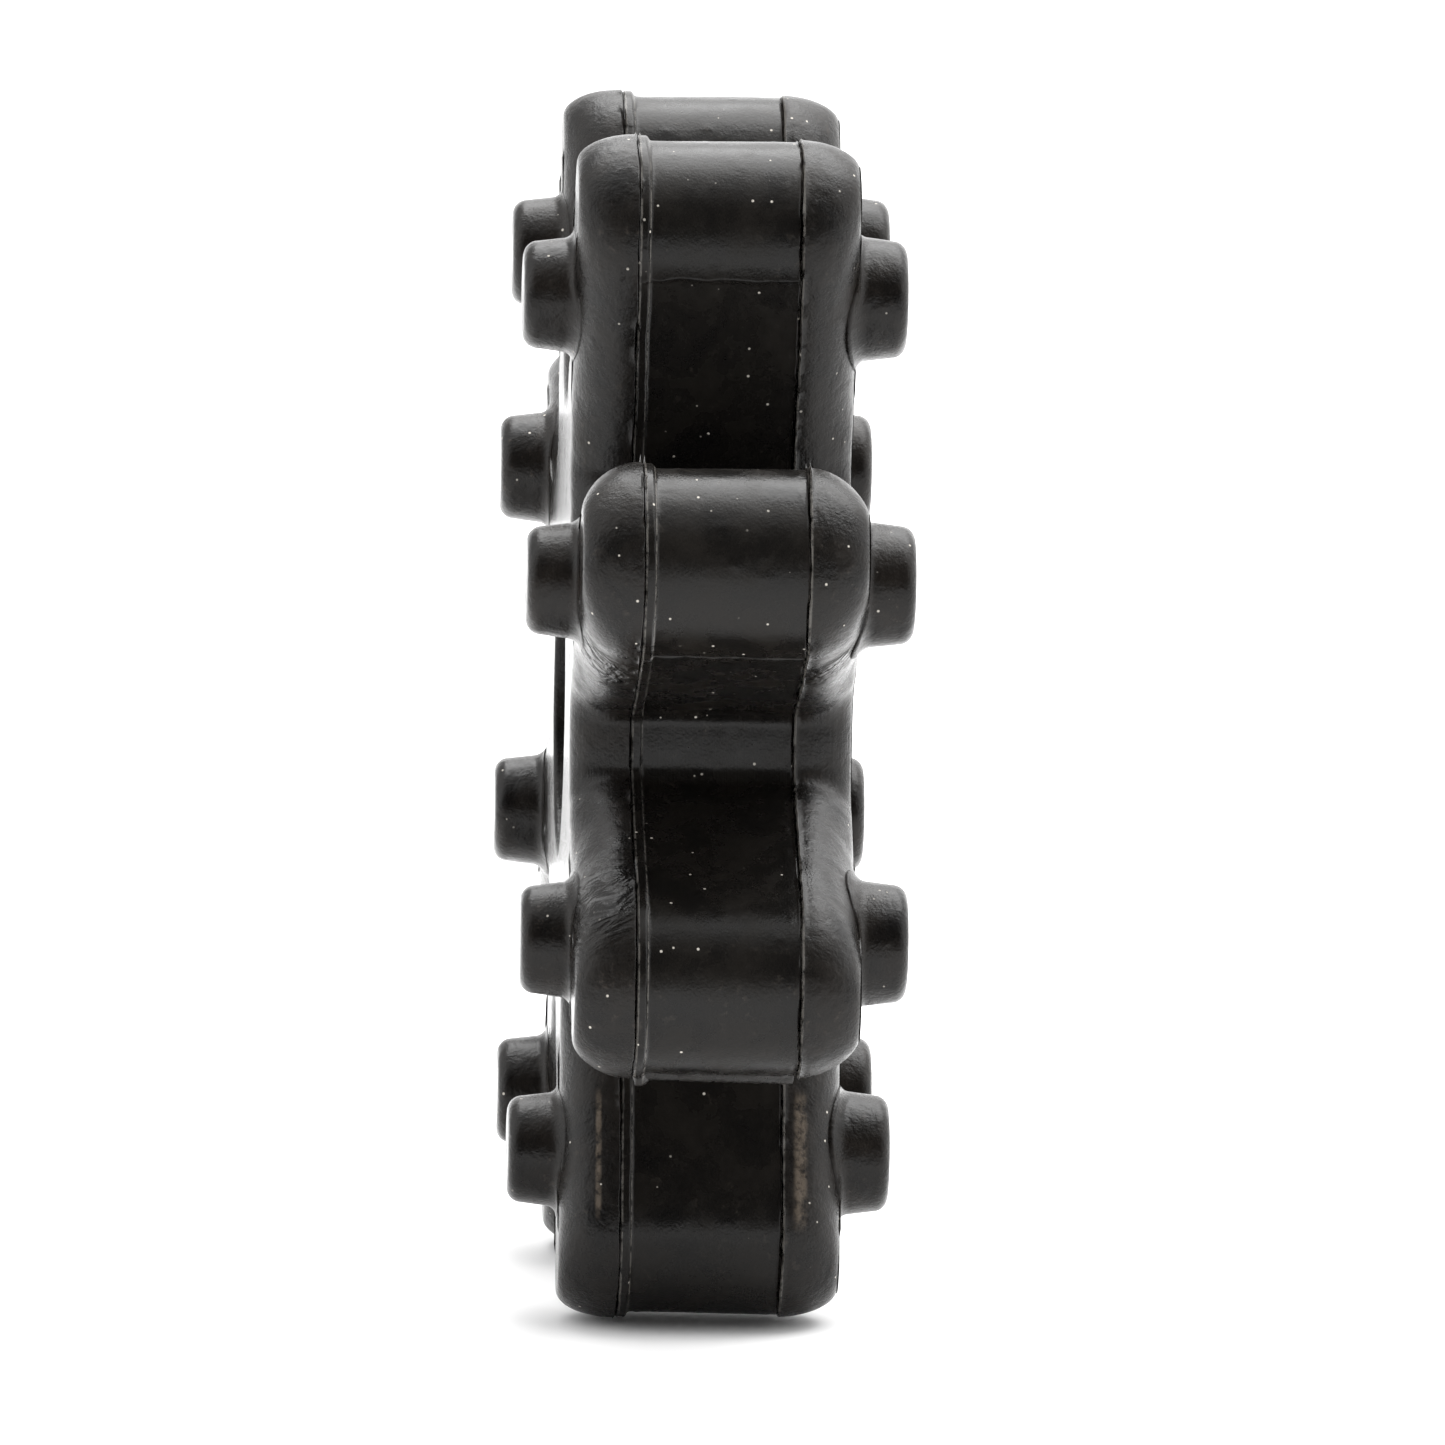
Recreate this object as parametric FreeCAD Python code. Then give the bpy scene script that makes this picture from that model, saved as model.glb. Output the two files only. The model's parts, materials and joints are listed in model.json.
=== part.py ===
import FreeCAD, Part

import math
import os

# A moulded rubber drive ring. It lies in the XZ plane and turns about +Y.
# Eight round-ended lugs stand out of a web ring, and each lug has a round
# stud on both of its side faces. Two seams run all the way round and divide
# the ring into a left cheek, a centre band and a right cheek.
# Left is -Y and right is +Y. Sizes are in millimetres, angles in degrees.

LUG_COUNT = 8
FIRST_LUG_ANGLE = 22.5  # from +X towards +Z, so that the ring stands on two lugs
BORE_RADIUS = 15.5
FLOOR_RADIUS = 33.0  # outside of the web, between the lugs
LUG_HALF_WIDTH = 10.0  # also the radius of a lug's round end and of its round root
CAP_CENTRE_RADIUS = 53.2  # centre of a lug's round end
FLEX_RADIUS = 35.0  # line that a lug bends about, and the centre of its round root
FLEX_GAP = 0.15  # between a lug's root and its socket in the web

CENTRE_WIDTH = 16.0  # from seam to seam
BODY_WIDTH = 28.0  # from side face to side face
LUG_SIDE_ROUND = 5.5  # side edges of a lug
WEB_SIDE_ROUND = 4.0  # side edges of the web between the lugs

STUD_CIRCLE_RADIUS = 46.25
STUD_RADIUS = {"left": 5.6, "right": 6.1}
STUD_HEIGHT = 5.0  # out of the side face
STUD_ROOT_RADIUS = 4.5  # the part of a stud that is moulded into the side face
STUD_SINK = 4.0  # depth of that part
STUD_EDGE_ROUND = 1.6

CORE_RADIUS = 2.5  # steel core across each lug, from stud to stud
CORE_GAP = 0.02

CORD_LOOP_RADIUS = 20.0  # endless cord round the web, in each seam
CORD_RADIUS = 1.0
CORD_GAP = 0.02

SEAM = CENTRE_WIDTH / 2.0
FACE = BODY_WIDTH / 2.0
STUD_TIP = FACE + STUD_HEIGHT
STUD_FOOT = FACE - STUD_SINK
CAP_TIP_RADIUS = CAP_CENTRE_RADIUS + LUG_HALF_WIDTH
ALONG_AXIS = FreeCAD.Vector(0.0, 1.0, 0.0)
SIDES = ("left", "right")


def rod(radius, start, end, centre_radius=0.0):
    """A round bar along Y, on the first lug's centreline when it lies on +X."""
    foot = FreeCAD.Vector(centre_radius, start, 0.0)
    return Part.makeCylinder(radius, end - start, foot, ALONG_AXIS)


def mirrored(shape, side):
    """The right-hand shape as it is, or its mirror image on the left."""
    if side == "right":
        return shape
    return shape.mirror(FreeCAD.Vector(0.0, 0.0, 0.0), ALONG_AXIS)


def at_lug(shape, index):
    """A lug's shape turned from +X to its own place round the ring."""
    angle = FIRST_LUG_ANGLE + index * 360.0 / LUG_COUNT
    turned = shape.copy()
    turned.rotate(FreeCAD.Vector(0.0, 0.0, 0.0), ALONG_AXIS, -angle)
    return turned


def cord_loop(radius):
    """A closed round hoop in the right-hand seam."""
    seam_point = FreeCAD.Vector(0.0, SEAM, 0.0)
    return Part.makeTorus(CORD_LOOP_RADIUS, radius, seam_point, ALONG_AXIS)


def edges_in_plane(shape, plane_y):
    """The edges that lie in one plane square to Y."""
    chosen = []
    for edge in shape.Edges:
        box = edge.BoundBox
        if abs(box.YMin - plane_y) < 1e-3 and abs(box.YMax - plane_y) < 1e-3:
            chosen.append(edge)
    return chosen


def sockets(start, end):
    """The round sockets in the web that the lugs' roots sit in."""
    socket = rod(LUG_HALF_WIDTH + FLEX_GAP, start, end, FLEX_RADIUS)
    return [at_lug(socket, index) for index in range(LUG_COUNT)]


def web_centre():
    ring = rod(FLOOR_RADIUS, -SEAM, SEAM).cut(rod(BORE_RADIUS, -SEAM, SEAM))
    groove = cord_loop(CORD_RADIUS + CORD_GAP)
    grooves = [mirrored(groove, side) for side in SIDES]
    return ring.cut(sockets(-SEAM, SEAM) + grooves)


def web_cheek():
    disc = rod(FLOOR_RADIUS, SEAM, FACE)
    disc = disc.makeFillet(WEB_SIDE_ROUND, edges_in_plane(disc, FACE))
    ring = disc.cut(rod(BORE_RADIUS, SEAM, FACE))
    return ring.cut(sockets(SEAM, FACE) + [cord_loop(CORD_RADIUS + CORD_GAP)])


def finger(start, end):
    """A bar with a round end, from well inside the web to the tip of a lug."""
    inner = FLEX_RADIUS - 2.0 * LUG_HALF_WIDTH
    low = FreeCAD.Vector(inner, start, -LUG_HALF_WIDTH)
    low_cap = FreeCAD.Vector(CAP_CENTRE_RADIUS, start, -LUG_HALF_WIDTH)
    tip = FreeCAD.Vector(CAP_TIP_RADIUS, start, 0.0)
    high_cap = FreeCAD.Vector(CAP_CENTRE_RADIUS, start, LUG_HALF_WIDTH)
    high = FreeCAD.Vector(inner, start, LUG_HALF_WIDTH)
    outline = Part.Wire([
        Part.LineSegment(low, low_cap).toShape(),
        Part.Arc(low_cap, tip, high_cap).toShape(),
        Part.LineSegment(high_cap, high).toShape(),
        Part.LineSegment(high, low).toShape(),
    ])
    return Part.Face(outline).extrude(FreeCAD.Vector(0.0, end - start, 0.0))


def root_trim(start, end):
    """What a lug keeps of its finger: a round root, and all outside the flex line."""
    corner = FreeCAD.Vector(FLEX_RADIUS, start, -2.0 * LUG_HALF_WIDTH)
    length = CAP_TIP_RADIUS - FLEX_RADIUS + 1.0
    outside = Part.makeBox(length, end - start, 4.0 * LUG_HALF_WIDTH, corner)
    root = rod(LUG_HALF_WIDTH, start, end, FLEX_RADIUS)
    return outside.fuse(root)


def core_hole(start, end):
    return rod(CORE_RADIUS + CORE_GAP, start, end, STUD_CIRCLE_RADIUS)


def lug_centre():
    body = finger(-SEAM, SEAM).common(root_trim(-SEAM, SEAM))
    return body.cut(core_hole(-SEAM, SEAM)).removeSplitter()


def lug_cheek():
    """A right-hand cheek, with a pocket for the root of its stud."""
    body = finger(SEAM, FACE)
    rim = []
    for edge in edges_in_plane(body, FACE):
        if edge.BoundBox.XMax > FLEX_RADIUS:
            rim.append(edge)
    body = body.makeFillet(LUG_SIDE_ROUND, rim)
    body = body.common(root_trim(SEAM, FACE))
    pocket = rod(STUD_ROOT_RADIUS, STUD_FOOT, FACE, STUD_CIRCLE_RADIUS)
    return body.cut([pocket, core_hole(SEAM, FACE)]).removeSplitter()


def stud(side):
    """A right-hand stud of the size that side has, with its narrower root."""
    boss = rod(STUD_RADIUS[side], FACE, STUD_TIP, STUD_CIRCLE_RADIUS)
    boss = boss.makeFillet(STUD_EDGE_ROUND, edges_in_plane(boss, STUD_TIP))
    root = rod(STUD_ROOT_RADIUS, STUD_FOOT, FACE, STUD_CIRCLE_RADIUS)
    return boss.fuse(root)


def core():
    return rod(CORE_RADIUS, -STUD_FOOT, STUD_FOOT, STUD_CIRCLE_RADIUS)


def write_part(shape, name):
    """One closed solid to its own file."""
    solids = shape.Solids
    if len(solids) != 1 or not solids[0].isValid():
        raise ValueError(name + " is not one valid solid")
    solids[0].exportStep("parts/" + name + ".step")
    volume = solids[0].Volume / 1000.0
    print("%-24s %8.3f cm3" % (name, volume))


def main():
    os.makedirs("parts", exist_ok=True)
    write_part(web_centre(), "web_centre")
    for side in SIDES:
        write_part(mirrored(web_cheek(), side), "web_" + side + "_cheek")
        write_part(mirrored(cord_loop(CORD_RADIUS), side), side + "_cord_loop")

    for index in range(LUG_COUNT):
        lug = "lug_%d_" % (index + 1)
        write_part(at_lug(lug_centre(), index), lug + "centre")
        write_part(at_lug(core(), index), lug + "core")
        for side in SIDES:
            cheek = mirrored(lug_cheek(), side)
            round_stud = mirrored(stud(side), side)
            write_part(at_lug(cheek, index), lug + side + "_cheek")
            write_part(at_lug(round_stud, index), lug + side + "_stud")


main()
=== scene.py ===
import json
import math

import bmesh
import bpy
import numpy as np
from mathutils import Matrix, Vector, noise


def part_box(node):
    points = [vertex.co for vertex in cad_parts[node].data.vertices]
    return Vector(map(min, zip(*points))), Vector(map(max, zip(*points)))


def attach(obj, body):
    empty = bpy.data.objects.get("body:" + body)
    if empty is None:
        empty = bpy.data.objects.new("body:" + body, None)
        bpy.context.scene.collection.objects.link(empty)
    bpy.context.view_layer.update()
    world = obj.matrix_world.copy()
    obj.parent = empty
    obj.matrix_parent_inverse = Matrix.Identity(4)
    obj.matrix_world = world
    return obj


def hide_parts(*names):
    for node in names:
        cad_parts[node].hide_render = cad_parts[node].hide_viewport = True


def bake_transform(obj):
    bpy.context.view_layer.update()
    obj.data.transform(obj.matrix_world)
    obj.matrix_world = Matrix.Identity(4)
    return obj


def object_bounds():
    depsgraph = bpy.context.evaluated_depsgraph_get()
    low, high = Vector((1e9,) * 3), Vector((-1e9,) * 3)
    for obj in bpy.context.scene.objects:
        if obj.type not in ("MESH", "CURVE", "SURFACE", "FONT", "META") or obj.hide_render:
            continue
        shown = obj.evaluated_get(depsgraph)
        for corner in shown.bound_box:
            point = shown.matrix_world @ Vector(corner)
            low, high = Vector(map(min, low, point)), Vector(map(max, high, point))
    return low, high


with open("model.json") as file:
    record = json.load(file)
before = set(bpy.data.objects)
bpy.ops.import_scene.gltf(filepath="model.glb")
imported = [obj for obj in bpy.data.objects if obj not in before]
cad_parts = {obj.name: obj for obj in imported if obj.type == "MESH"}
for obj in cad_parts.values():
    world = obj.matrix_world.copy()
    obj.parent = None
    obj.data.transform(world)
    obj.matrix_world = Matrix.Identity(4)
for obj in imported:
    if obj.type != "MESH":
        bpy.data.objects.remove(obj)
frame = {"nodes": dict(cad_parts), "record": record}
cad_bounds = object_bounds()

# A moulded rubber drive ring with eight round-ended lugs, in metres.
# The ring's axis is +Y. Each eighth of it, one lug with its share of the web,
# is three closed skins: a left cheek, a centre band and a right cheek.

MM = 0.001
LUG_COUNT = 8
STEP = 2.0 * math.pi / LUG_COUNT
HALF_STEP = STEP / 2.0
FIRST_LUG = HALF_STEP


# ---- Sizes read from the frame -------------------------------------------

def mount(name):
    """The record's mount of that name."""
    for entry in frame["record"]["mounts"]:
        if entry["name"] == name:
            return entry
    raise KeyError(name)


BORE = mount("bore")["dims"]["r_mm"] * MM
STUD_RADIUS = {
    "left": mount("studs_left")["dims"]["stud_r_mm"] * MM,
    "right": mount("studs_right")["dims"]["stud_r_mm"] * MM,
}
STUD_CIRCLE = mount("studs_left")["dims"]["pcd_mm"] * MM / 2.0
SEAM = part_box("web_centre")[1].y
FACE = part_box("web_right_cheek")[1].y
STUD_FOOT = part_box("lug_1_right_stud")[0].y
STUD_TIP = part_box("lug_1_right_stud")[1].y
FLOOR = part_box("web_centre")[1].x
LUG_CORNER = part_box("lug_1_centre")[1]
CAP_CENTRE = (LUG_CORNER.x - LUG_CORNER.z) / (math.cos(FIRST_LUG) - math.sin(FIRST_LUG))
HALF_WIDTH = LUG_CORNER.x - CAP_CENTRE * math.cos(FIRST_LUG)
GROUND = cad_bounds[0][2]

# ---- Sizes of the moulded surface ----------------------------------------

ROOT_FILLET = 1.2 * MM
CHEEK = FACE - SEAM
ROUND_FLANK = 6.0 * MM  # how far a cheek's rounding reaches into a flank
ROUND_CAP = 2.8 * MM  # the same over the round end of a lug
ROUND_FLOOR = 4.0 * MM  # the same on the web between lugs
CAP_TURN = 0.25  # turn along the round end where the rounding starts to widen
FLANK_TURN = 1.5  # turn where it is as wide as on the flank
FLANK_FADE = 7.0 * MM  # length over which it narrows towards the web
BORE_ROUND = 0.6 * MM
GROOVE = 0.26 * MM  # depth of the groove at each seam
LIP = 0.30 * MM  # width of the rounded lip beside the groove
LIP_STEPS = (0.2, 0.4, 0.6, 0.8)  # rows across the lip, as shares of its width
BEAD = 1.05 * MM  # width of the raised bead beside the left seam
BEAD_SINK = 0.10 * MM  # how far the bead lies below the cheeks
BAND_SINK = 0.60 * MM  # how far the centre band lies below them, beside the bead
BAND_RISE = 0.35 * MM  # how much of that it gains again by its right edge
TAPER = 0.50 * MM  # the ring is this much smaller in radius at its right face
COLUMN = 0.42 * MM  # length of a mesh cell along the outline
SWELL = 0.12 * MM  # unevenness of the moulding, up to this much inwards
SEAM_WANDER = 0.16 * MM  # how far a seam wanders from its plane
FLASH = 0.38 * MM  # height of the tallest flash along a seam
LINE_HEIGHT = 0.20 * MM  # the moulding line across a lug, where its round end starts
LINE_WIDTH = 0.20 * MM
LINE_DRIFT = 0.35 * MM  # how far that line wanders along the lug
SKIRT_TURN = math.radians(67.5)  # where a thin skirt of flash hangs below one lug
SKIRT_LUG = 7
SKIRT_HEIGHT = 1.0 * MM
SKIRT_RISE = 2.6 * MM  # length over which the round end swells out to the skirt's edge
# Tall bits of flash: lug, place on its outline as a turn, side, height
TORN_BITS = (
    (0, math.radians(75.7), -1, 0.80 * MM),
    (0, math.radians(75.7), 1, 0.65 * MM),
    (2, 0.0, -1, 0.80 * MM),
)
TORN_LENGTH = 0.7 * MM
STUD_DRAFT = 0.30 * MM  # a stud is this much thicker at its foot, in radius
STUD_RIM = 1.5 * MM  # rounding of a stud's rim
STUD_ROOT = 1.1 * MM  # fillet from a stud onto its cheek
STUD_CROWN = 0.05 * MM  # how far a stud's flat end lies below the CAD stud's end
STUD_SEGMENTS = 72
STUD_BURIED = 0.25 * MM  # how far a fillet's edge lies under the cheek
STUD_TUCK = 0.4 * MM  # how much narrower a stud is at its sunk foot
ROUND_STEPS = 8  # mesh rings round a stud's rim and round its fillet
WALL_STEPS = 6


def smooth(value, low, high):
    """Goes from 0 at low to 1 at high with no kink."""
    t = min(max((value - low) / (high - low), 0.0), 1.0)
    return t * t * (3.0 - 2.0 * t)


# ---- The outline of one lug and its share of the web ----------------------

def spread(start, end, radius=1.0):
    """Even places from start up to end, one mesh cell apart, without the last."""
    steps = max(4, int(round(abs(end - start) * radius / COLUMN)))
    return [start + (end - start) * i / steps for i in range(steps)]


def outline():
    """Points, outward normals and rounding depths along one eighth of the ring.

    The lug lies along +x, and the outline runs from low z to high z.
    """
    fillet_x = math.sqrt((FLOOR + ROOT_FILLET) ** 2 - (HALF_WIDTH + ROOT_FILLET) ** 2)
    fillet_z = HALF_WIDTH + ROOT_FILLET
    fillet_end = math.atan2(fillet_z, fillet_x)
    rows = []
    line = [LINE_WIDTH * step / HALF_WIDTH for step in (2.0, 1.0, 0.5)]
    skirt = [SKIRT_TURN + step * LINE_WIDTH / HALF_WIDTH for step in (-1.0, -0.5, 0.0, 0.5)]
    past_skirt = SKIRT_TURN + LINE_WIDTH / HALF_WIDTH
    cap_turns = spread(0.0, skirt[0], HALF_WIDTH) + skirt
    cap_turns += spread(past_skirt, math.pi / 2.0 - line[0], HALF_WIDTH)
    cap_turns += [math.pi / 2.0 - t for t in line]
    for turn in cap_turns:
        depth = ROUND_CAP + (ROUND_FLANK - ROUND_CAP) * smooth(turn, CAP_TURN, FLANK_TURN)
        point = (CAP_CENTRE + HALF_WIDTH * math.cos(turn), HALF_WIDTH * math.sin(turn))
        rows.append((point, turn, depth))
    flank = [0.0, 0.5 * LINE_WIDTH, LINE_WIDTH]
    flank += spread(2.0 * LINE_WIDTH, CAP_CENTRE - fillet_x)
    for x in (CAP_CENTRE - place for place in flank):
        fade = smooth(x, fillet_x, fillet_x + FLANK_FADE)
        depth = ROUND_FLOOR + (ROUND_FLANK - ROUND_FLOOR) * fade
        rows.append(((x, HALF_WIDTH), math.pi / 2.0, depth))
    fillet_steps = 7
    for i in range(fillet_steps):
        turn = math.pi / 2.0 + (fillet_end - math.pi / 2.0) * i / fillet_steps
        point = (fillet_x - ROOT_FILLET * math.cos(turn), fillet_z - ROOT_FILLET * math.sin(turn))
        rows.append((point, turn, ROUND_FLOOR))
    for turn in spread(fillet_end, HALF_STEP, FLOOR) + [HALF_STEP]:
        point = (FLOOR * math.cos(turn), FLOOR * math.sin(turn))
        rows.append((point, turn, ROUND_FLOOR))
    high = [(x, z, turn, depth) for (x, z), turn, depth in rows]
    low = [(x, -z, -turn, depth) for x, z, turn, depth in reversed(high[1:])]
    return np.array(low + high)


OUTLINE = outline()
POINTS = OUTLINE[:, 0:2]
NORMALS = np.stack([np.cos(OUTLINE[:, 2]), np.sin(OUTLINE[:, 2])], axis=1)
DEPTHS = OUTLINE[:, 3]
COLUMNS = len(OUTLINE)


def surface_row(inward, y):
    """One row of points, inward of the outline by so much at each column."""
    flat = POINTS - NORMALS * np.asarray(inward).reshape(-1, 1)
    heights = np.full(COLUMNS, y) if np.isscalar(y) else y
    return np.stack([flat[:, 0], heights, flat[:, 1]], axis=1)


def bore_row(radius, y):
    """One row round the bore, spread evenly over this eighth."""
    turns = np.linspace(-HALF_STEP, HALF_STEP, COLUMNS)
    return np.stack(
        [radius * np.cos(turns), np.full(COLUMNS, y), radius * np.sin(turns)], axis=1
    )


def cheek_rows():
    """Closed loop of rows for a right-hand cheek, from its seam over the side face."""
    rows = [surface_row(GROOVE, SEAM)]
    outer = [True]
    for step in LIP_STEPS:
        rows.append(surface_row(GROOVE * (1.0 - step) ** 3, SEAM + LIP * step))
        outer.append(True)
    lean_steps = 18
    first_lean = math.asin(LIP / CHEEK)
    for i in range(lean_steps + 1):
        lean = first_lean + (math.pi / 2.0 - first_lean) * i / lean_steps
        depth = DEPTHS * (1.0 - math.cos(lean))
        rows.append(surface_row(depth, SEAM + CHEEK * math.sin(lean)))
        outer.append(True)
    rim = rows[-1]
    bore_rim = bore_row(BORE + BORE_ROUND, FACE)
    for share in (0.02, 0.06, 0.14, 0.28, 0.44, 0.6, 0.76, 0.9, 1.0):
        rows.append(rim + (bore_rim - rim) * share)
        outer.append(True)
    round_steps = 4
    for i in range(1, round_steps + 1):
        lean = math.pi / 2.0 * i / round_steps
        radius = BORE + BORE_ROUND * (1.0 - math.sin(lean))
        rows.append(bore_row(radius, FACE - BORE_ROUND * (1.0 - math.cos(lean))))
        outer.append(False)
    for share in (0.5, 1.0):
        start = FACE - BORE_ROUND
        rows.append(bore_row(BORE, start + (SEAM - start) * share))
        outer.append(False)
    return rows, outer


def centre_sink(y):
    """How far the centre band lies below the cheeks, past the bead at its left edge."""
    past_bead = smooth(y + SEAM, 0.8 * BEAD, 1.3 * BEAD)
    across = smooth(y, -SEAM, SEAM)
    return BEAD_SINK + (BAND_SINK - BEAD_SINK) * past_bead - BAND_RISE * across


def centre_rows():
    """Closed loop of rows for a centre band, from its left seam to its right seam."""
    width = 2.0 * SEAM
    rows = [surface_row(GROOVE, -SEAM)]
    outer = [True]
    edge = [step * LIP for step in LIP_STEPS + (1.0, 1.7, 2.4)]
    edge += [BEAD * step for step in (0.8, 0.9, 1.0, 1.1, 1.2, 1.35, 1.6)]
    start = 2.0 * BEAD
    places = edge + [start + (width - 2.0 * start) * i / 26.0 for i in range(27)]
    places += [width - place for place in reversed(edge)]
    for place in places:
        y = place - SEAM
        near = min(place, width - place)
        lip = GROOVE * (1.0 - min(near / LIP, 1.0)) ** 3
        rows.append(surface_row(np.full(COLUMNS, max(lip, 0.0) + centre_sink(y)), y))
        outer.append(True)
    rows.append(surface_row(GROOVE, SEAM))
    outer.append(True)
    for share in (0.0, 0.25, 0.5, 0.75, 1.0):
        rows.append(bore_row(BORE, SEAM - width * share))
        outer.append(False)
    return rows, outer


# ---- Relief ---------------------------------------------------------------

def swell(point):
    """Unevenness of the moulding at a point of the ring, from 0 to 1 inwards."""
    wide = noise.noise(point / (11.0 * MM))
    near = noise.noise(point / (3.2 * MM))
    return 0.5 + 0.45 * wide + 0.2 * near


def seam_wander(point, side):
    """How far a seam lies off its plane at a point of the outline."""
    place = Vector((point.x / (7.0 * MM), side * 3.7, point.z / (7.0 * MM)))
    fine = Vector((point.x / (1.6 * MM), side * 9.1, point.z / (1.6 * MM)))
    return SEAM_WANDER * (noise.noise(place) + 0.45 * noise.noise(fine))


def flash_height(point, side):
    """Height of the torn flash at a point of a seam: mostly none, in places tall."""
    place = Vector((point.x / (2.6 * MM), side * 5.3, point.z / (2.6 * MM)))
    teeth = Vector((point.x / (0.7 * MM), side * 2.9, point.z / (0.7 * MM)))
    torn = smooth(noise.noise(place), 0.0, 0.55) * (0.6 + 0.8 * noise.noise(teeth))
    steady = 0.32 * smooth(noise.noise(place * 0.4), -0.35, 0.2) if side > 0 else 0.0
    return FLASH * min(max(torn, steady), 1.0)


def groove_fill(point, side):
    """How full of rubber a seam's groove is at a point of the outline, from 0 to 1."""
    place = Vector((point.x / (8.0 * MM), side * 7.7, point.z / (8.0 * MM)))
    fine = Vector((point.x / (1.8 * MM), side * 4.1, point.z / (1.8 * MM)))
    return smooth(noise.noise(place) + 0.35 * noise.noise(fine), -0.25, 0.40)


def torn_bit(column, lug_index, side):
    """Height of the tall bits of flash on a seam, at a column of the outline."""
    tall = 0.0
    for bit_lug, turn, bit_side, height in TORN_BITS:
        if bit_lug == lug_index and bit_side == side:
            away = abs(OUTLINE[column, 2] - turn) * HALF_WIDTH
            tall = max(tall, height * (1.0 - smooth(away, 0.0, TORN_LENGTH)))
    return tall


def cross_line(column, lug_index):
    """Height of the moulding line or the skirt of flash at a column of the centre band."""
    if OUTLINE[column, 1] > 0.0:
        return 0.0
    from_line = abs(POINTS[column, 0] - CAP_CENTRE)
    past_skirt = -(OUTLINE[column, 2] + SKIRT_TURN) * HALF_WIDTH
    height = LINE_HEIGHT * max(1.0 - from_line / LINE_WIDTH, 0.0)
    if lug_index == SKIRT_LUG:
        width = SKIRT_RISE if past_skirt < 0.0 else LINE_WIDTH
        height = max(height, SKIRT_HEIGHT * (1.0 - smooth(abs(past_skirt), 0.0, width)))
    return height


def line_drift(column, y, lug_index):
    """How far the outline slides along the lug, so that its moulding line is not straight."""
    from_line = abs(POINTS[column, 0] - CAP_CENTRE)
    if OUTLINE[column, 1] > 0.0 or abs(y) > SEAM - BEAD:
        return 0.0
    place = Vector((y / (2.4 * MM), 3.0 * lug_index, 0.0))
    return LINE_DRIFT * smooth(from_line, 2.5 * MM, 0.0) * noise.noise(place)


def relieve(grid, outer_rows, normals, lug_index, seams):
    """Gives a band of one lug its taper, swell, wandering seams, flash and line.

    seams lists the band's seams, as the side each lies on: -1 left, 1 right.
    """
    turned = turn_about_axis(grid.reshape(-1, 3), lug_index).reshape(grid.shape)
    outline_at = turn_about_axis(surface_row(0.0, 0.0), lug_index)
    centre_band = len(seams) == 2
    for column in range(COLUMNS):
        place = Vector(outline_at[column])
        wander = {side: seam_wander(place, side) for side in seams}
        flash = {
            side: max(flash_height(place, side), torn_bit(column, lug_index, side))
            for side in seams
        }
        fill = {side: groove_fill(place, side) for side in seams}
        line = cross_line(column, lug_index) if centre_band else 0.0
        outward = np.array([NORMALS[column, 0], 0.0, NORMALS[column, 1]])
        for row, is_outer in enumerate(outer_rows):
            if not is_outer:
                continue
            y = grid[row, column, 1]
            for side in seams:
                away = abs(y - side * SEAM)
                share = 1.0 - smooth(away, 0.5 * BEAD, 3.0 * BEAD)
                grid[row, column, 1] += wander[side] * share
                if away < 0.95 * LIP:
                    peak = max(1.0 - abs(away / LIP - 0.6) / 0.45, 0.0)
                    filled = 0.8 * GROOVE * fill[side] * (1.0 - away / LIP) ** 3
                    grid[row, column] += outward * (flash[side] * peak + filled)
            point = Vector(turned[row, column])
            push = SWELL * min(max(swell(point), 0.0), 1.0)
            ragged = LINE_HEIGHT * 0.6 * (abs(noise.noise(point / (1.3 * MM)) * 2.0) - 1.0)
            between_seams = abs(y) < SEAM - LIP
            ridge = max(line + ragged, 0.0) if between_seams else 0.0
            grid[row, column] -= normals[row, column] * (push - ridge)
            if centre_band:
                grid[row, column, 0] += line_drift(column, y, lug_index)
            if abs(y) < FACE - 0.01 * MM:
                grid[row, column] -= outward * TAPER * (y + FACE) / (2.0 * FACE)
    return grid


def row_normals(rows):
    """Outward normals of a grid of points, from its neighbours."""
    along = np.zeros_like(rows)
    along[:, 1:-1] = rows[:, 2:] - rows[:, :-2]
    along[:, 0] = rows[:, 1] - rows[:, 0]
    along[:, -1] = rows[:, -1] - rows[:, -2]
    across = np.zeros_like(rows)
    across[1:-1] = rows[2:] - rows[:-2]
    across[0] = rows[1] - rows[0]
    across[-1] = rows[-1] - rows[-2]
    normals = np.cross(across, along)
    length = np.linalg.norm(normals, axis=2, keepdims=True)
    return normals / np.maximum(length, 1e-12)


# ---- Meshes ---------------------------------------------------------------

def turn_about_axis(coords, lug_index):
    """Points of a lug that lies on +x, turned to the lug's own place."""
    angle = FIRST_LUG + lug_index * STEP
    cosine, sine = math.cos(angle), math.sin(angle)
    turned = coords.copy()
    turned[:, 0] = coords[:, 0] * cosine - coords[:, 2] * sine
    turned[:, 2] = coords[:, 0] * sine + coords[:, 2] * cosine
    return turned


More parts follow.
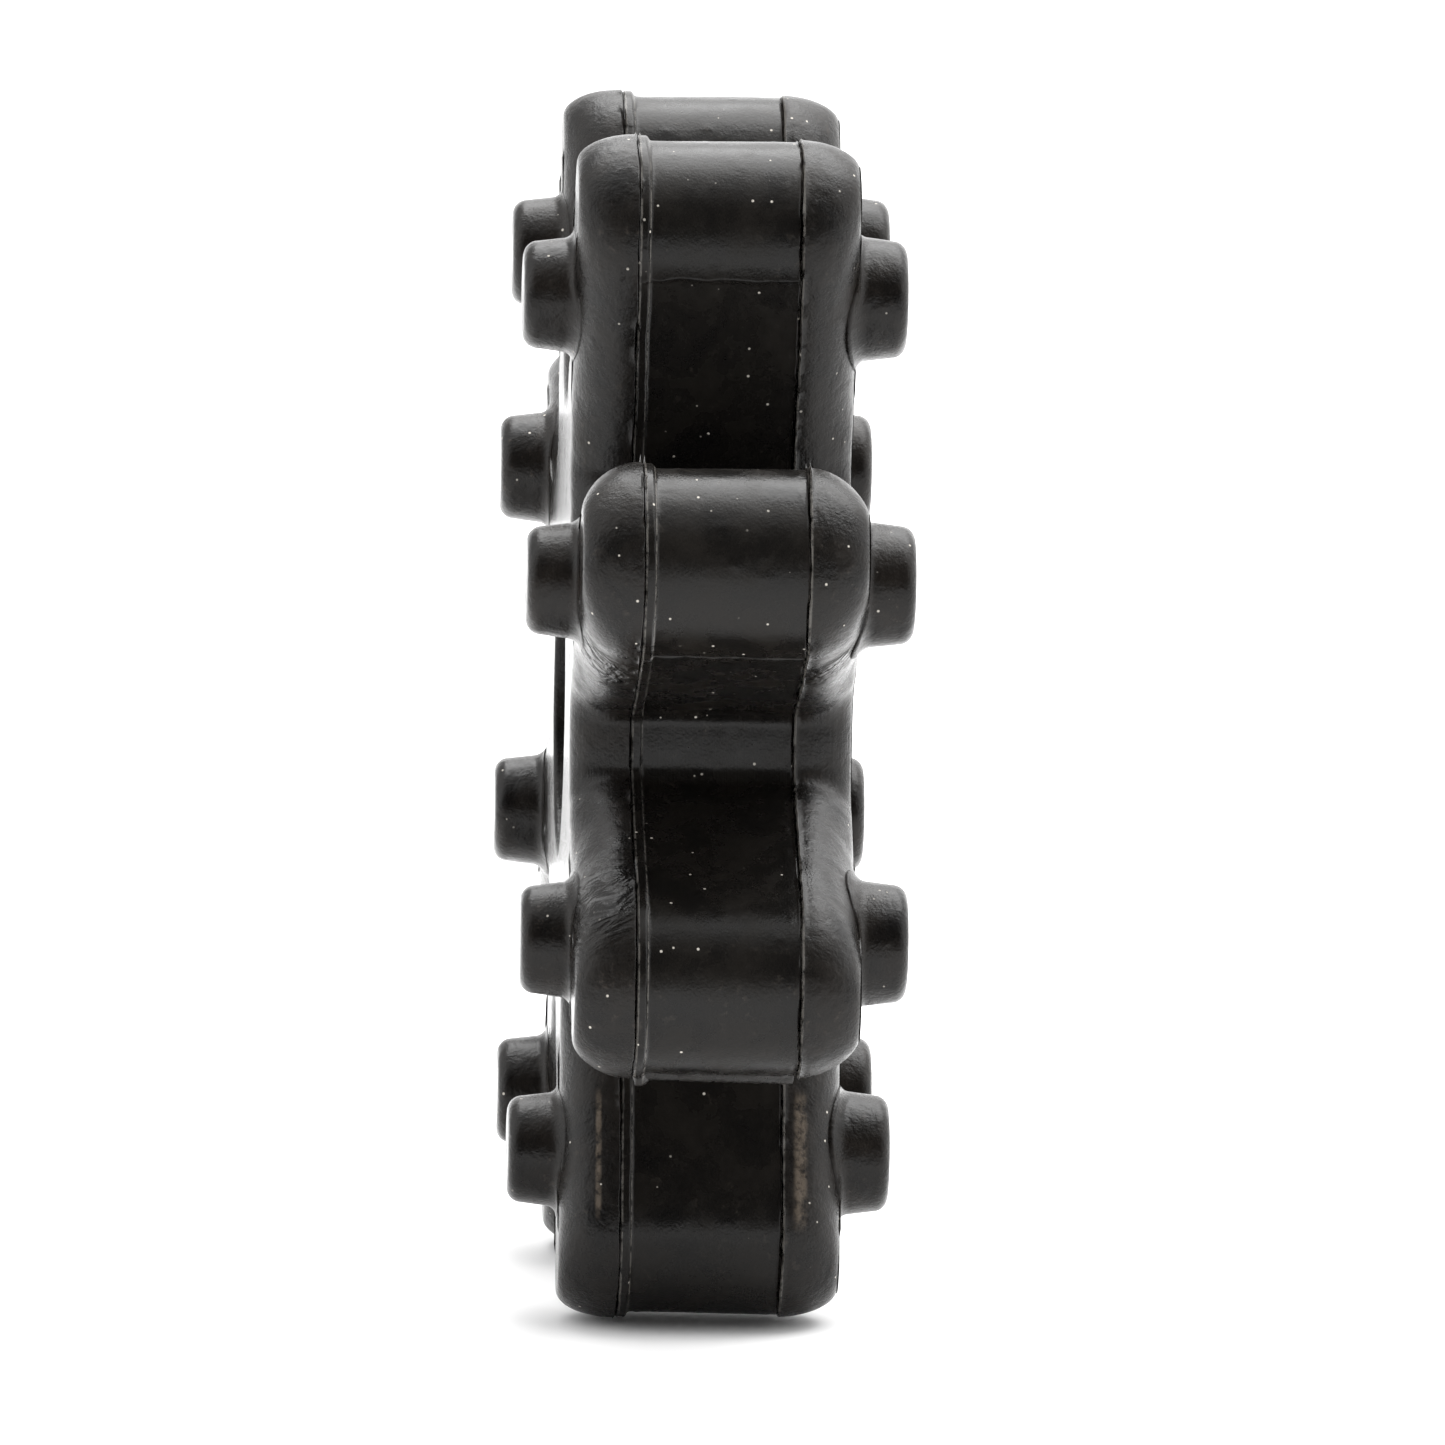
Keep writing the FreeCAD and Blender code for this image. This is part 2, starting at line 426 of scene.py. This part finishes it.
def loft(name, grid):
    """A closed tube of faces through a grid whose rows close on themselves."""
    row_count, column_count = grid.shape[0], grid.shape[1]
    points = grid.reshape(-1, 3).tolist()
    faces = []
    for row in range(row_count):
        following = (row + 1) % row_count
        for column in range(column_count - 1):
            a = row * column_count + column
            b = following * column_count + column
            faces.append((a, a + 1, b + 1, b))
    for column in (0, column_count - 1):
        rim = grid[:, column]
        middle = len(points)
        points.append(((rim.min(axis=0) + rim.max(axis=0)) / 2.0).tolist())
        for row in range(row_count):
            following = (row + 1) % row_count
            faces.append((row * column_count + column, following * column_count + column, middle))
    mesh = bpy.data.meshes.new(name)
    mesh.from_pydata(points, [], faces)
    mesh.update()
    return finish_mesh(name, mesh)


def finish_mesh(name, mesh):
    """An object with outward faces, smooth but for its hard edges."""
    work = bmesh.new()
    work.from_mesh(mesh)
    bmesh.ops.recalc_face_normals(work, faces=work.faces)
    work.to_mesh(mesh)
    work.free()
    for polygon in mesh.polygons:
        polygon.use_smooth = True
    mesh.set_sharp_from_angle(angle=math.radians(55.0))
    obj = bpy.data.objects.new(name, mesh)
    bpy.context.scene.collection.objects.link(obj)
    return obj


def skin(name, rows, outer, lug_index, side):
    """One band of one lug, relieved, turned into place and lofted."""
    grid = np.array(rows)
    normals = row_normals(grid)
    seams = {"left": [-1], "centre": [-1, 1], "right": [1]}[side]
    if side == "left":
        grid[:, :, 1] *= -1.0
        normals[:, :, 1] *= -1.0
    grid = relieve(grid, outer, normals, lug_index, seams)
    turned = turn_about_axis(grid.reshape(-1, 3), lug_index).reshape(grid.shape)
    return loft(name, np.clip(turned, cad_bounds[0], cad_bounds[1]))


def cheek_height(x, z):
    """Height of a right-hand cheek's surface over a point of a lug's side."""
    if x <= CAP_CENTRE:
        inside = HALF_WIDTH - abs(z)
        depth = ROUND_FLANK
    else:
        radius = math.hypot(x - CAP_CENTRE, z)
        inside = HALF_WIDTH - radius
        turn = abs(math.atan2(z, x - CAP_CENTRE))
        depth = ROUND_CAP + (ROUND_FLANK - ROUND_CAP) * smooth(turn, CAP_TURN, FLANK_TURN)
    if inside >= depth:
        return FACE
    cosine = min(max(1.0 - inside / depth, -1.0), 1.0)
    return SEAM + CHEEK * math.sqrt(max(1.0 - cosine * cosine, 0.0))


def stud(name, lug_index, side):
    """A round stud with drafted sides, a rounded rim and a fillet onto the cheek."""
    segments = STUD_SEGMENTS
    foot_radius = STUD_RADIUS[side]
    tip_radius = foot_radius - STUD_DRAFT
    profile = []  # radius, height, how much the height follows the cheek's rounding
    for share in (0.25, 0.5, 0.75):
        profile.append(((tip_radius - STUD_RIM) * share, STUD_TIP - STUD_CROWN, 0.0))
    for i in range(ROUND_STEPS + 1):
        lean = math.pi / 2.0 * i / ROUND_STEPS
        radius = tip_radius - STUD_RIM * (1.0 - math.sin(lean))
        height = STUD_TIP - STUD_CROWN * math.cos(lean) - STUD_RIM * (1.0 - math.cos(lean))
        profile.append((radius, height, 0.0))
    wall_top = STUD_TIP - STUD_RIM
    wall_foot = FACE + STUD_ROOT
    for i in range(1, WALL_STEPS + 1):
        share = i / WALL_STEPS
        height = wall_top + (wall_foot - wall_top) * share
        profile.append((tip_radius + STUD_DRAFT * share, height, 0.5 * share))
    for i in range(1, ROUND_STEPS + 1):
        lean = math.pi / 2.0 * i / ROUND_STEPS
        radius = foot_radius + STUD_ROOT * (1.0 - math.cos(lean))
        height = FACE + STUD_ROOT * (1.0 - math.sin(lean))
        profile.append((radius, height, 0.5 + 0.5 * i / ROUND_STEPS))
    verts = [(STUD_CIRCLE, STUD_TIP - STUD_CROWN, 0.0)]
    for radius, height, follow in profile:
        for j in range(segments):
            turn = 2.0 * math.pi * j / segments
            x = STUD_CIRCLE + radius * math.cos(turn)
            z = radius * math.sin(turn)
            drop = FACE - cheek_height(x, z)
            verts.append((x, height - follow * drop, z))
    for j in range(segments):
        turn = 2.0 * math.pi * j / segments
        radius = foot_radius + STUD_ROOT * 1.03
        x = STUD_CIRCLE + radius * math.cos(turn)
        z = radius * math.sin(turn)
        verts.append((x, cheek_height(x, z) - STUD_BURIED, z))
    for j in range(segments):
        turn = 2.0 * math.pi * j / segments
        radius = foot_radius - STUD_TUCK
        verts.append((STUD_CIRCLE + radius * math.cos(turn), STUD_FOOT, radius * math.sin(turn)))
    rings = len(profile) + 2
    faces = [(0, 1 + j, 1 + (j + 1) % segments) for j in range(segments)]
    for ring in range(rings - 1):
        for j in range(segments):
            a = 1 + ring * segments + j
            b = 1 + ring * segments + (j + 1) % segments
            faces.append((a, a + segments, b + segments, b))
    start = 1 + (rings - 1) * segments
    faces.append([start + j for j in range(segments)])
    coords = np.array(verts)
    if side == "left":
        coords[:, 1] *= -1.0
    turned = turn_about_axis(coords, lug_index)
    mesh = bpy.data.meshes.new(name)
    mesh.from_pydata(turned.tolist(), [], faces)
    mesh.update()
    return finish_mesh(name, mesh)


# ---- Materials ------------------------------------------------------------

class Nodes:
    """Short calls for building one node material."""

    def __init__(self, name):
        self.material = bpy.data.materials.new(name)
        self.material.use_nodes = True
        self.tree = self.material.node_tree
        self.shader = self.tree.nodes["Principled BSDF"]
        self.place = self.tree.nodes.new("ShaderNodeTexCoord").outputs["Object"]

    def link(self, source, target):
        self.tree.links.new(source, target)

    def split_place(self):
        """The node that splits object coordinates into X, Y and Z."""
        node = self.tree.nodes.new("ShaderNodeSeparateXYZ")
        self.link(self.place, node.inputs["Vector"])
        return node

    def stretched(self, scale):
        """Object coordinates, stretched by a vector."""
        node = self.tree.nodes.new("ShaderNodeMapping")
        node.inputs["Scale"].default_value = scale
        self.link(self.place, node.inputs["Vector"])
        return node.outputs["Vector"]

    def noise(self, scale, detail=4.0, rough=0.55, vector=None, distort=0.0):
        node = self.tree.nodes.new("ShaderNodeTexNoise")
        node.inputs["Scale"].default_value = scale
        node.inputs["Detail"].default_value = detail
        node.inputs["Roughness"].default_value = rough
        node.inputs["Distortion"].default_value = distort
        self.link(vector or self.place, node.inputs["Vector"])
        return node.outputs["Fac"]

    def cells(self, scale, output="Distance"):
        node = self.tree.nodes.new("ShaderNodeTexVoronoi")
        node.inputs["Scale"].default_value = scale
        self.link(self.place, node.inputs["Vector"])
        return node.outputs[output]

    def ramp(self, source, low, high, start=0.0, end=1.0):
        """Maps low..high to start..end, clamped and smoothed."""
        node = self.tree.nodes.new("ShaderNodeMapRange")
        node.interpolation_type = "SMOOTHSTEP"
        node.inputs["From Min"].default_value = low
        node.inputs["From Max"].default_value = high
        node.inputs["To Min"].default_value = start
        node.inputs["To Max"].default_value = end
        self.link(source, node.inputs["Value"])
        return node.outputs["Result"]

    def maths(self, operation, first, second):
        node = self.tree.nodes.new("ShaderNodeMath")
        node.operation = operation
        for index, value in enumerate((first, second)):
            if isinstance(value, (int, float)):
                node.inputs[index].default_value = value
            else:
                self.link(value, node.inputs[index])
        return node.outputs["Value"]

    def mix(self, share, first, second):
        """A colour between two colours or sockets."""
        node = self.tree.nodes.new("ShaderNodeMix")
        node.data_type = "RGBA"
        self.link(share, node.inputs["Factor"])
        for name, value in (("A", first), ("B", second)):
            socket = [s for s in node.inputs if s.name == name and s.type == "RGBA"][0]
            if isinstance(value, tuple):
                socket.default_value = (*value, 1.0)
            else:
                self.link(value, socket)
        return [s for s in node.outputs if s.type == "RGBA"][0]

    def bump(self, height, distance, normal=None):
        """Adds a relief as tall as distance to a normal."""
        node = self.tree.nodes.new("ShaderNodeBump")
        node.inputs["Distance"].default_value = distance
        node.inputs["Strength"].default_value = 1.0
        self.link(height, node.inputs["Height"])
        if normal is not None:
            self.link(normal, node.inputs["Normal"])
        return node.outputs["Normal"]


WORN_AND_HIGHLIGHT_LINES = (  # light lines beside the seams, partly torn flash and partly a painted highlight where the flash catches the light: place across the ring, half width
    (8.08 * MM, 0.18 * MM),
    (-7.82 * MM, 0.10 * MM),
    (-6.90 * MM, 0.07 * MM),
)
# Colour of those lines: torn flash lightened further as a painted highlight.
WORN_AND_HIGHLIGHT_COLOUR = (0.090, 0.084, 0.076)
HIGHLIGHT_STREAKS = (  # painted highlights, light upright streaks where the cheeks' rounded corners reflect the light: place across, width, lowest and highest z
    (9.8 * MM, 0.9 * MM, -49.0 * MM, -35.0 * MM),
    (-10.2 * MM, 0.4 * MM, -48.0 * MM, -35.0 * MM),
)
HIGHLIGHT_STREAK_FADE = 2.0 * MM
# Colour of the painted highlight streaks.
HIGHLIGHT_STREAK_COLOUR = (0.085, 0.068, 0.052)
WRINKLED = (  # places of the cheeks with slanted flow wrinkles, and their radius
    ((0.051, -0.0115, -0.0130), 0.0085),
    ((-0.030, -0.0115, 0.0400), 0.0080),
)
WRINKLE_SLANT = math.radians(28.0)
WRINKLE_SIZE = (3.5 * MM, 4.5 * MM, 1.0 * MM)
LUMPY = (  # places of the cheeks where the rubber came out in lumps
    ((0.046, -0.0115, 0.0105), 0.0065),
    ((0.046, 0.0125, 0.0105), 0.0055),
    ((-0.045, 0.0120, -0.0120), 0.0070),
)
CRUMPLE_HEIGHT = 1.1 * MM
DENT_HEIGHT = 0.18 * MM  # the shallow dents of the rubber's skin
GRAIN_HEIGHT = 0.02 * MM
AROUND_HEIGHT = 0.05 * MM  # the fine lines round the web
WEB_EDGE = (34.5 * MM, 36.0 * MM)  # where those lines fade out, from the axis
SIDE_FACE = (13.2 * MM, 13.9 * MM)  # where a cheek turns into its smoother side face
SIDE_FACE_ROUGH = 0.7  # roughness of the side faces against the rest
DUST_SCALE = 800.0
DUST_COLOUR = (0.50, 0.47, 0.42)


def across(n):
    """Place of a point across the ring, from left to right."""
    return n.split_place().outputs["Y"]


def off_middle(n):
    """Distance of a point from the ring's middle plane."""
    return n.maths("ABSOLUTE", across(n), 0.0)


def on_worn_and_highlight_lines(n):
    """1 on the light lines beside the seams, partly torn flash and partly painted highlight."""
    total = None
    for place, half_width in WORN_AND_HIGHLIGHT_LINES:
        gap = n.maths("ABSOLUTE", n.maths("SUBTRACT", across(n), place), 0.0)
        line = n.ramp(gap, 0.4 * half_width, 1.4 * half_width, 1.0, 0.0)
        total = line if total is None else n.maths("MAXIMUM", total, line)
    return total


def near_to(n, centre, radius):
    """1 near a place of the ring, fading to 0 at a radius from it."""
    gap = n.tree.nodes.new("ShaderNodeVectorMath")
    gap.operation = "DISTANCE"
    n.link(n.place, gap.inputs[0])
    gap.inputs[1].default_value = centre
    return n.ramp(gap.outputs["Value"], 0.35 * radius, radius, 1.0, 0.0)


def from_axis(n):
    """Distance of a point from the ring's axis."""
    flat = n.tree.nodes.new("ShaderNodeVectorMath")
    flat.operation = "MULTIPLY"
    n.link(n.place, flat.inputs[0])
    flat.inputs[1].default_value = (1.0, 0.0, 1.0)
    length = n.tree.nodes.new("ShaderNodeVectorMath")
    length.operation = "LENGTH"
    n.link(flat.outputs["Vector"], length.inputs[0])
    return length.outputs["Value"]


def near_any(n, places):
    """1 near any of some places, each with its own radius."""
    share = near_to(n, *places[0])
    for centre, radius in places[1:]:
        share = n.maths("MAXIMUM", share, near_to(n, centre, radius))
    return share


def crumple(n):
    """Height of slanted flow wrinkles and of lumps, only where the rubber flowed badly."""
    slant = n.tree.nodes.new("ShaderNodeMapping")
    slant.vector_type = "TEXTURE"
    slant.inputs["Rotation"].default_value = (WRINKLE_SLANT, 0.0, 0.0)
    slant.inputs["Scale"].default_value = WRINKLE_SIZE
    n.link(n.place, slant.inputs["Vector"])
    folds = n.noise(1.0, 3.0, 0.5, slant.outputs["Vector"], 0.5)
    lumps = n.noise(620.0, 3.0, 0.5, distort=0.6)
    folds = n.maths("MULTIPLY", folds, near_any(n, WRINKLED))
    lumps = n.maths("MULTIPLY", lumps, near_any(n, LUMPY))
    return n.maths("ADD", folds, lumps)


def painted_highlight_streaks(n, broken):
    """1 on painted highlights: light upright streaks on the lowest lug in front, where its rounded
    corners reflect the light, broken by a noise.
    """
    split = n.split_place()
    in_front = n.ramp(split.outputs["X"], 0.0, 0.010)
    total = None
    for place, width, low, high in HIGHLIGHT_STREAKS:
        gap = n.maths("ABSOLUTE", n.maths("SUBTRACT", split.outputs["Y"], place), 0.0)
        above = n.ramp(split.outputs["Z"], low, low + HIGHLIGHT_STREAK_FADE)
        below = n.ramp(split.outputs["Z"], high - HIGHLIGHT_STREAK_FADE, high, 1.0, 0.0)
        share = n.ramp(gap, 0.3 * width, width, 1.0, 0.0)
        share = n.maths("MULTIPLY", n.maths("MULTIPLY", share, above), below)
        total = share if total is None else n.maths("MAXIMUM", total, share)
    total = n.maths("MULTIPLY", total, in_front)
    return n.maths("MULTIPLY", total, n.ramp(broken, 0.35, 0.60))


def dust(n, patches):
    """1 on small round specks, more of them on some patches than on others."""
    cell = n.cells(DUST_SCALE)
    split = n.tree.nodes.new("ShaderNodeSeparateColor")
    n.link(n.cells(DUST_SCALE, "Color"), split.inputs["Color"])
    chosen = n.ramp(split.outputs["Red"], 0.80, 0.81)
    crowded = n.ramp(patches, 0.42, 0.50)
    spot = n.ramp(cell, 0.08, 0.135, 1.0, 0.0)
    return n.maths("MULTIPLY", spot, n.maths("MULTIPLY", chosen, crowded))


def rubber(name, dark, light, gloss, wear, crumpled_and_highlit):
    """Moulded black rubber: mottled, dented, rubbed bright in places, with dust,
    and light seam lines that are partly torn flash and partly painted highlight.

    wear scales its dents and haze; crumpled adds the cheeks' wrinkles, lumps and painted highlight
    streaks.
    """
    n = Nodes(name)
    patches = n.noise(110.0, 5.0, 0.6, distort=0.6)
    stains = n.noise(240.0, 4.0, 0.6, distort=0.3)
    fine = n.noise(900.0, 6.0, 0.65)
    grain = n.noise(3600.0, 3.0, 0.5)
    dents = n.noise(300.0, 4.0, 0.55, distort=0.4)
    colour = n.mix(n.ramp(stains, 0.25, 0.75), dark, light)
    scuff = n.maths("MULTIPLY", n.ramp(fine, 0.56, 0.72), n.ramp(patches, 0.48, 0.62))
    colour = n.mix(scuff, colour, tuple(c * 2.6 for c in light))
    # Painted highlights: light upright streaks where the lowest lug's rounded corners reflect the
    # light.
    if crumpled_and_highlit:
        colour = n.mix(painted_highlight_streaks(n, fine), colour, HIGHLIGHT_STREAK_COLOUR)
    # Light lines beside the seams: partly scuffed torn flash, partly a painted highlight where the
    # flash catches the light.
    worn_and_highlit = n.maths("MULTIPLY", on_worn_and_highlight_lines(n), n.ramp(fine, 0.38, 0.55))
    colour = n.mix(worn_and_highlit, colour, WORN_AND_HIGHLIGHT_COLOUR)
    specks = dust(n, patches)
    colour = n.mix(specks, colour, DUST_COLOUR)
    n.link(colour, n.shader.inputs["Base Color"])
    rough = n.ramp(stains, 0.25, 0.75, gloss - 0.05, gloss + 0.13)
    rough = n.maths("ADD", rough, n.ramp(fine, 0.45, 0.7, 0.0, 0.10 * wear))
    rough = n.maths("MULTIPLY", rough, n.ramp(off_middle(n), *SIDE_FACE, 1.0, SIDE_FACE_ROUGH))
    rough = n.maths("ADD", rough, n.maths("MULTIPLY", specks, 0.4))
    n.link(rough, n.shader.inputs["Roughness"])
    n.shader.inputs["IOR"].default_value = 1.5
    n.shader.inputs["Specular IOR Level"].default_value = 0.19
    on_web = n.ramp(from_axis(n), *WEB_EDGE, 1.0, 0.0)
    around = n.noise(1.0, 3.0, 0.6, n.stretched((60.0, 2200.0, 60.0)))
    normal = n.bump(n.maths("MULTIPLY", around, on_web), AROUND_HEIGHT)
    normal = n.bump(dents, DENT_HEIGHT * wear, normal)
    normal = n.bump(fine, 0.5 * DENT_HEIGHT * wear, normal)
    normal = n.bump(grain, GRAIN_HEIGHT, normal)
    if crumpled_and_highlit:
        normal = n.bump(crumple(n), CRUMPLE_HEIGHT, normal)
    n.link(normal, n.shader.inputs["Normal"])
    return n.material


def steel(name, colour, rough, twist):
    """Drawn or stranded steel, with fine lines along it."""
    n = Nodes(name)
    lines = n.noise(1.0, 3.0, 0.6, n.stretched(twist))
    n.link(n.mix(lines, tuple(c * 0.7 for c in colour), colour), n.shader.inputs["Base Color"])
    n.shader.inputs["Metallic"].default_value = 1.0
    n.link(n.ramp(lines, 0.3, 0.7, rough, rough + 0.2), n.shader.inputs["Roughness"])
    n.link(n.bump(lines, 0.03 * MM), n.shader.inputs["Normal"])
    return n.material


MATERIALS = {
    "centre_rubber": rubber(
        "centre_rubber", (0.0052, 0.0048, 0.0045), (0.0098, 0.0084, 0.0070), 0.22, 0.3, False
    ),
    "cheek_rubber": rubber(
        "cheek_rubber", (0.0045, 0.0042, 0.0040), (0.0120, 0.0100, 0.0084), 0.23, 1.0, True
    ),
    "stud_rubber": rubber(
        "stud_rubber", (0.0048, 0.0043, 0.0040), (0.0130, 0.0106, 0.0088), 0.26, 0.9, False
    ),
    "core_steel": steel("core_steel", (0.56, 0.56, 0.57), 0.3, (900.0, 20.0, 900.0)),
    "cord": steel("cord", (0.55, 0.50, 0.40), 0.35, (900.0, 900.0, 900.0)),
}


def give(obj, slot):
    """Puts one material on an object, in place of what it has."""
    obj.data.materials.clear()
    obj.data.materials.append(MATERIALS[slot])


def paint(obj, slot):
    """The same for a piece of the looks model."""
    give(obj, slot)


# ---- The ring -------------------------------------------------------------

def make_ring():
    cheek, cheek_outer = cheek_rows()
    centre, centre_outer = centre_rows()
    for index in range(LUG_COUNT):
        lug = "lug_%d" % (index + 1)
        bands = (
            ("centre", centre, centre_outer, "centre_rubber", "_centre"),
            ("left", cheek, cheek_outer, "cheek_rubber", "_left_cheek"),
            ("right", cheek, cheek_outer, "cheek_rubber", "_right_cheek"),
        )
        for side, rows, outer, slot, node in bands:
            piece = skin(lug + "_" + side + "_skin", rows, outer, index, side)
            paint(piece, slot)
            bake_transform(piece)
            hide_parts(lug + node, "web" + node)
        for side in ("left", "right"):
            piece = stud(lug + "_" + side + "_stud_skin", index, side)
            paint(piece, "stud_rubber")
            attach(piece, lug)
            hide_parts(lug + "_" + side + "_stud")


def paint_nodes():
    """Gives every CAD node the material of its kind."""
    for name, node in frame["nodes"].items():
        if name.endswith("_core"):
            give(node, "core_steel")
        elif name.endswith("_cord_loop"):
            give(node, "cord")
        elif name.endswith("_centre"):
            give(node, "centre_rubber")
        else:
            give(node, "cheek_rubber")


# ---- Floor, light and camera ----------------------------------------------

FLOOR_REACH = 6.0
WORLD_BACK = 2.2  # strength of the light behind the ring
WORLD_FRONT = 0.08  # and behind the camera
WORLD_FADE = (0.10, 0.75)  # where it goes from one to the other, as x of the direction
DARK_CARD = (-0.72, -0.55, 0.42)  # direction of a dark card
CARD_FADE = (0.20, 0.65)  # its edge, as distance from that direction
CARD_LEFT = 0.40  # share of the light that it leaves
SOFTBOX_PLACE = (-0.33, 0.20, 0.94)
SOFTBOX_SIZE = (1.3, 0.85)
SOFTBOX_POWER = 20.0


def make_floor():
    mesh = bpy.data.meshes.new("floor")
    corners = [
        (x * FLOOR_REACH, y * FLOOR_REACH, GROUND)
        for x, y in ((-1.0, -1.0), (1.0, -1.0), (1.0, 1.0), (-1.0, 1.0))
    ]
    mesh.from_pydata(corners, [], [(0, 1, 2, 3)])
    floor = bpy.data.objects.new("floor", mesh)
    bpy.context.scene.collection.objects.link(floor)
    n = Nodes("floor_paper")
    tone = n.noise(3.0, 2.0)
    n.link(n.mix(tone, (0.88, 0.88, 0.88), (0.92, 0.92, 0.92)), n.shader.inputs["Base Color"])
    n.shader.inputs["Roughness"].default_value = 0.9
    mesh.materials.append(n.material)


def make_world():
    """White behind and beside the ring, dark behind the camera, one dark card high at the left."""
    world = bpy.data.worlds.new("studio")
    bpy.context.scene.world = world
    world.use_nodes = True
    tree = world.node_tree
    background = tree.nodes["Background"]
    direction_in = tree.nodes.new("ShaderNodeTexCoord").outputs["Generated"]
    split = tree.nodes.new("ShaderNodeSeparateXYZ")
    tree.links.new(direction_in, split.inputs["Vector"])
    card = tree.nodes.new("ShaderNodeVectorMath")
    card.operation = "DISTANCE"
    card.inputs[1].default_value = DARK_CARD
    tree.links.new(direction_in, card.inputs[0])

    def fade(source, start, end, at_start, at_end):
        node = tree.nodes.new("ShaderNodeMapRange")
        node.interpolation_type = "SMOOTHSTEP"
        node.inputs["From Min"].default_value = start
        node.inputs["From Max"].default_value = end
        node.inputs["To Min"].default_value = at_start
        node.inputs["To Max"].default_value = at_end
        tree.links.new(source, node.inputs["Value"])
        return node.outputs["Result"]

    both = tree.nodes.new("ShaderNodeMath")
    both.operation = "MULTIPLY"
    tree.links.new(fade(split.outputs["X"], *WORLD_FADE, WORLD_BACK, WORLD_FRONT), both.inputs[0])
    tree.links.new(fade(card.outputs["Value"], *CARD_FADE, CARD_LEFT, 1.0), both.inputs[1])
    tree.links.new(both.outputs["Value"], background.inputs["Strength"])
    background.inputs["Color"].default_value = (1.0, 1.0, 1.0, 1.0)


def make_softbox():
    """One wide light overhead, turned to the middle of the ring."""
    light = bpy.data.lights.new("overhead", "AREA")
    light.shape = "RECTANGLE"
    light.size, light.size_y = SOFTBOX_SIZE
    light.energy = SOFTBOX_POWER
    box = bpy.data.objects.new("overhead", light)
    bpy.context.scene.collection.objects.link(box)
    box.location = SOFTBOX_PLACE
    box.rotation_euler = (-Vector(SOFTBOX_PLACE)).to_track_quat("-Z", "Y").to_euler()


def make_camera():
    """A long lens, nearly in line with the ring, a little above and to the left."""
    azimuth = math.radians(87.41)
    elevation = math.radians(8.21)
    roll = math.radians(1.17)
    distance = 1.750
    aim_right = 2.38 * MM
    aim_down = 2.24 * MM
    back = Vector((
        math.sin(azimuth) * math.cos(elevation),
        -math.cos(azimuth) * math.cos(elevation),
        math.sin(elevation),
    ))
    level = Vector((0.0, 0.0, 1.0)).cross(back).normalized()
    upright = back.cross(level)
    right = level * math.cos(roll) + upright * math.sin(roll)
    up = upright * math.cos(roll) - level * math.sin(roll)
    place = back * distance + right * aim_right - up * aim_down
    lens = bpy.data.cameras.new("camera")
    lens.sensor_width = 36.0
    lens.lens = 435.9
    lens.clip_end = 50.0
    camera = bpy.data.objects.new("camera", lens)
    bpy.context.scene.collection.objects.link(camera)
    turn = Matrix((right, up, back)).transposed().to_4x4()
    camera.matrix_world = Matrix.Translation(place) @ turn
    bpy.context.scene.camera = camera


make_ring()
paint_nodes()
make_floor()
make_world()
make_softbox()
make_camera()
bpy.context.scene.view_settings.view_transform = "Standard"
